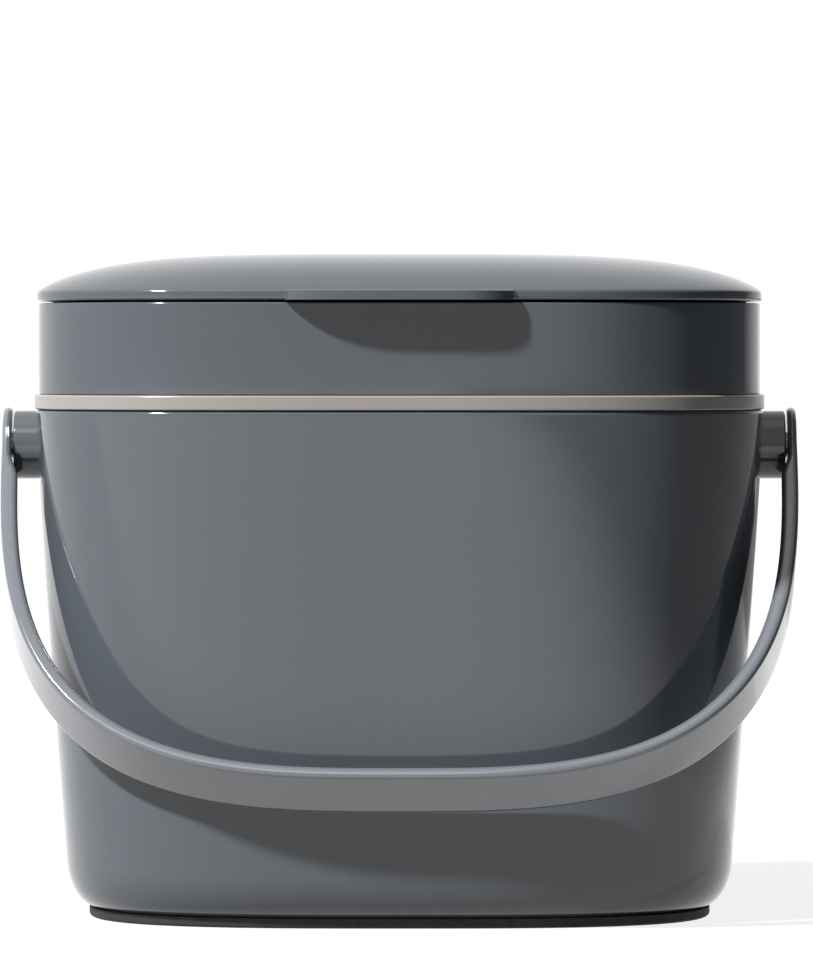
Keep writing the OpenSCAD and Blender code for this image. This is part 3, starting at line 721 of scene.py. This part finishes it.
def strap_thickness(down):
    """Thickness of the strap: thin at the eye, full below it, easing towards the grip."""
    ramp = min(1, max(0, (down - BOSS_R) / BOSS_R))
    ramp = ramp * ramp * (3 - 2 * ramp)
    ease = (max(0, down) / HANDLE_REACH) ** 2
    return EYE_T + ramp * (ARM_T - EYE_T - (ARM_T - GRIP_T) * ease)


def strap_half_width(down):
    """Half width of the strap, round at the eye."""
    round_eye = math.sqrt(max(0, EYE_R ** 2 - down ** 2))
    if down < 0:
        return round_eye
    return max(ARM_W / 2 - (ARM_W - GRIP_W) / 2 * down / HANDLE_REACH, round_eye)


def bail_stations():
    """Stations along the bail as (across, down, outward direction), from one eye to the other."""
    eye_steps, bail_steps = 16, 176
    eye = [-EYE_R * math.sin(math.radians(88 * (1 - i / eye_steps))) for i in range(eye_steps)]
    stations = [(HANDLE_X, down, (1, 0)) for down in eye]
    for i in range(bail_steps + 1):
        s = math.pi * i / bail_steps
        c, d = math.cos(s), math.sin(s)
        k = (abs(c) ** HANDLE_POWER + d ** HANDLE_POWER) ** (-1 / HANDLE_POWER)
        out = Vector((math.copysign(abs(k * c) ** (HANDLE_POWER - 1) / HANDLE_X, c),
                      (k * d) ** (HANDLE_POWER - 1) / HANDLE_REACH)).normalized()
        stations.append((HANDLE_X * k * c, HANDLE_REACH * k * d, (out.x, out.y)))
    return stations + [(-HANDLE_X, down, (-1, 0)) for down in reversed(eye)]


def make_handle():
    """The bail handle: a strap swept from eye to eye, with a pivot stub inside each eye."""
    bm = bmesh.new()
    full_half = ARM_W / 2
    low = full_half - STRAP_CROWN
    dip = 0.05      # the broad outer face is a touch hollow on each side of its middle
    # Corners of the section as (into the strap, over its width, rounding)
    crown = [(ARM_T * i / 12, full_half - STRAP_CROWN * (i / 6 - 1) ** 2, 0) for i in range(4, 9)]
    section = ([(0, -full_half, STRAP_BACK_R), (dip, -full_half / 2, 0), (0, 0, 0),
                (dip, full_half / 2, 0), (0, low, STRAP_EDGE)] + crown
               + [(ARM_T, low, STRAP_EDGE), (ARM_T, 0, 0), (ARM_T, -full_half, STRAP_EDGE)])
    verts = [bm.verts.new((p, q, 0)) for p, q, _ in section]
    for a, b in zip(verts, verts[1:] + verts[:1]):
        bm.edges.new((a, b))
    round_corners(bm, verts, [corner[2] for corner in section], segments=6)
    # Each vertex keeps its place in the full section, which every station takes it from
    into = bm.verts.layers.float.new("into")
    over = bm.verts.layers.float.new("over")
    for vert in bm.verts:
        vert[into], vert[over] = vert.co.x, vert.co.y

    def place(vert, station):
        """Sets a vertex of the section at a station, with the strap's size there."""
        across, down, out = station
        t, half = strap_thickness(down), strap_half_width(down)
        p, q = vert[into], vert[over]
        if p > ARM_T - STRAP_EDGE:
            p = t - (ARM_T - p)
        elif p > STRAP_EDGE:
            p = STRAP_EDGE + (p - STRAP_EDGE) * (t - 2 * STRAP_EDGE) / (ARM_T - 2 * STRAP_EDGE)
        if abs(q) > full_half * 0.6:
            tuck = min(1, half / (2 * STRAP_EDGE))
            q = math.copysign(half - (full_half - abs(q)) * tuck, q)
        else:
            q = q * half / full_half
        if down < 0:
            inward = max(0, EYE_EASE - (EYE_R - math.hypot(down, q)))
            lift = EYE_EASE - math.sqrt(max(0, EYE_EASE ** 2 - inward ** 2))
            p = min(max(p, lift), t - lift)
        vert.co = hang_point(across - out[0] * p, down - out[1] * p, q)

    stations = bail_stations()
    edges = bm.edges[:]
    for vert in bm.verts:
        place(vert, stations[0])
    for station in stations[1:]:
        made = bmesh.ops.extrude_edge_only(bm, edges=edges)["geom"]
        fresh = [g for g in made if isinstance(g, bmesh.types.BMVert)]
        edges = [g for g in made if isinstance(g, bmesh.types.BMEdge)
                 and all(v in fresh for v in g.verts)]
        for vert in fresh:
            place(vert, station)
    bmesh.ops.holes_fill(bm, edges=[e for e in bm.edges if e.is_boundary], sides=0)
    tip_x = HALF_W + BOSS_LEN - STUB_LEN
    root_x = HANDLE_X - EYE_T / 2
    stub = turn_bar(bm, [(tip_x, 0, 0), (tip_x, STUB_D / 2, 0.5), (root_x, STUB_D / 2, 0),
                         (root_x, 0, 0)], (0, PIVOT_Z), steps=64)
    mirror_over(bm, stub, "X")
    return finish_piece(bm, "handle", "handle", handle_abs_painted_lighter)


make_bin()
make_foot_ring()
make_bag_ring()
make_lid_rim()
make_lid()
make_lid_liner()
make_lid_seal()
make_hinge_pin()
make_handle()


# ---- camera, floor and lights ----

def aim(thing, spot):
    """Points a camera or lamp at a spot."""
    thing.rotation_euler = (Vector(spot) - thing.location).to_track_quat("-Z", "Y").to_euler()


camera = bpy.data.objects.new("camera", bpy.data.cameras.new("camera"))
bpy.context.collection.objects.link(camera)
camera.data.lens = 258.3
camera.data.clip_end = 100
camera.location = (0.0024, -2.4, 0.195)
aim(camera, (0.0024, 0, 0.15))
bpy.context.scene.camera = camera


def hang_key_lamp():
    """The one hard light, high on the left and in front, far enough off to light evenly."""
    lamp = bpy.data.objects.new("key_lamp", bpy.data.lights.new("key_lamp", "SUN"))
    lamp.data.energy = 6.7
    lamp.data.angle = math.radians(4)
    lamp.location = (-1.24, -0.9, 1.53)
    bpy.context.collection.objects.link(lamp)
    aim(lamp, (0, 0, 0))


def hang_soft_box(name, spot, target, width, height, brightness, lights=True, shows=True):
    """A flat soft box. Its brightness is that of its face, where 1 is white. It lights what is
    near it, shows in gloss, or both."""
    box = bpy.data.lights.new(name, "AREA")
    box.shape = "RECTANGLE"
    box.size, box.size_y = width, height
    box.energy = brightness * math.pi * width * height
    lamp = bpy.data.objects.new(name, box)
    lamp.location = spot
    lamp.visible_diffuse, lamp.visible_glossy = lights, shows
    lamp.visible_camera = False
    bpy.context.collection.objects.link(lamp)
    aim(lamp, target)


# The pool of light painted on the floor as a glow that only gloss mirrors, in metres and as
# brightness where 1 is white: to the right it fades out, and a little way in front it grows
POOL_RIGHT, POOL_RIGHT_GLOW = (0.1, 0.7), (1.7, 0.1)
POOL_FRONT, POOL_FRONT_GLOW = (-0.3, -0.5), (1.1, 1.7)


def make_floor():
    """The pale floor: white under the lamps and grey in the caddy's shadow. Gloss mirrors a pool of
    light painted on it as a glow, and it throws little light back up, so undersides stay deep."""
    bm = bmesh.new()
    bmesh.ops.create_grid(bm, x_segments=8, y_segments=8, size=12)
    mesh = bpy.data.meshes.new("floor")
    bm.to_mesh(mesh)
    bm.free()
    floor = bpy.data.objects.new("floor", mesh)
    bpy.context.collection.objects.link(floor)
    material = bpy.data.materials.new("pale_paper")
    material.use_nodes = True
    tree = material.node_tree
    tree.nodes.clear()
    rays = add_node(tree, "ShaderNodeLightPath").outputs
    seen = add_node(tree, "ShaderNodeMath", {0: rays["Is Camera Ray"], 1: rays["Is Glossy Ray"]},
                    operation="MAXIMUM")
    dim = add_node(tree, "ShaderNodeBsdfDiffuse", {"Color": hex_colour("#848484")})
    paper = add_node(tree, "ShaderNodeBsdfDiffuse", {"Color": hex_colour("#e6e6e6")})
    place = add_node(tree, "ShaderNodeTexCoord").outputs["Object"]
    split = add_node(tree, "ShaderNodeSeparateXYZ", {"Vector": place}).outputs
    right = add_node(tree, "ShaderNodeMapRange",
                     {"Value": split["X"], "From Min": POOL_RIGHT[0], "From Max": POOL_RIGHT[1],
                      "To Min": POOL_RIGHT_GLOW[0], "To Max": POOL_RIGHT_GLOW[1]},
                     interpolation_type="SMOOTHSTEP")
    front = add_node(tree, "ShaderNodeMapRange",
                     {"Value": split["Y"], "From Min": POOL_FRONT[0], "From Max": POOL_FRONT[1],
                      "To Min": POOL_FRONT_GLOW[0], "To Max": POOL_FRONT_GLOW[1]},
                     interpolation_type="SMOOTHSTEP")
    pool = add_node(tree, "ShaderNodeMath", {0: right.outputs[0], 1: front.outputs[0]},
                    operation="MINIMUM")
    # Strength of the glow: the painted pool of light for gloss, and plain white for the camera
    painted_glow = add_node(tree, "ShaderNodeMix", {0: rays["Is Camera Ray"], 2: pool.outputs[0], 3: 1})
    glow = add_node(tree, "ShaderNodeEmission",
                    {"Color": hex_colour("#ffffff"), "Strength": painted_glow.outputs[0]})
    pale = add_node(tree, "ShaderNodeMixShader", {0: 0.84, 1: paper.outputs[0], 2: glow.outputs[0]})
    shown = add_node(tree, "ShaderNodeMixShader",
                     {0: seen.outputs[0], 1: dim.outputs[0], 2: pale.outputs[0]})
    add_node(tree, "ShaderNodeOutputMaterial", {"Surface": shown.outputs[0]})
    mesh.materials.append(material)


def light_the_room():
    """The white studio: white to the camera, darker on the right in gloss, and dim as a fill."""
    world = bpy.data.worlds.new("studio")
    bpy.context.scene.world = world
    world.use_nodes = True
    tree = world.node_tree
    tree.nodes.clear()
    rays = add_node(tree, "ShaderNodeLightPath").outputs
    way = add_node(tree, "ShaderNodeTexCoord").outputs["Generated"]
    split = add_node(tree, "ShaderNodeSeparateXYZ", {"Vector": way}).outputs
    side = add_node(tree, "ShaderNodeMapRange",
                    {"Value": split["X"], "From Min": 0.15, "From Max": 0.75, "To Min": 1.15,
                     "To Max": 0.1}, interpolation_type="SMOOTHSTEP")
    behind = add_node(tree, "ShaderNodeMapRange",
                      {"Value": split["Y"], "From Min": 0.6, "From Max": 0.95, "To Min": 0,
                       "To Max": 0.9}, interpolation_type="SMOOTHSTEP")
    mirrored = add_node(tree, "ShaderNodeMath", {0: side.outputs[0], 1: behind.outputs[0]},
                        operation="MAXIMUM")
    fill = add_node(tree, "ShaderNodeBackground", {"Color": hex_colour("#f2f4f8"), "Strength": 0.02})
    gloss = add_node(tree, "ShaderNodeBackground", {"Strength": mirrored.outputs[0]})
    white = add_node(tree, "ShaderNodeBackground", {"Color": (1, 1, 1, 1), "Strength": 1})
    reflected = add_node(tree, "ShaderNodeMixShader",
                         {0: rays["Is Glossy Ray"], 1: fill.outputs[0], 2: gloss.outputs[0]})
    through = add_node(tree, "ShaderNodeMixShader",
                       {0: rays["Is Transmission Ray"], 1: reflected.outputs[0],
                        2: white.outputs[0]})
    shown = add_node(tree, "ShaderNodeMixShader",
                     {0: rays["Is Camera Ray"], 1: through.outputs[0], 2: white.outputs[0]})
    add_node(tree, "ShaderNodeOutputWorld", {"Surface": shown.outputs[0]})


make_floor()
light_the_room()
hang_key_lamp()
# From above and from the left as a fill, from behind for the far sides, and a strip that only
# draws light along the upper edges
hang_soft_box("overhead_box", (-0.1, -0.2, 1.3), (0, 0, 0.1), 0.9, 0.7, 0.4)
hang_soft_box("side_box", (-1.1, -0.25, 0.45), (0, 0, 0.15), 0.9, 0.8, 0.8, shows=False)
hang_soft_box("back_box", (0.85, 1.1, 0.45), (0, 0, 0.12), 1, 0.9, 5, shows=False)
hang_soft_box("edge_box", (-0.25, -0.85, 1.2), (0, 0, 0.15), 0.7, 0.4, 2, lights=False)
bpy.context.scene.view_settings.view_transform = "Standard"
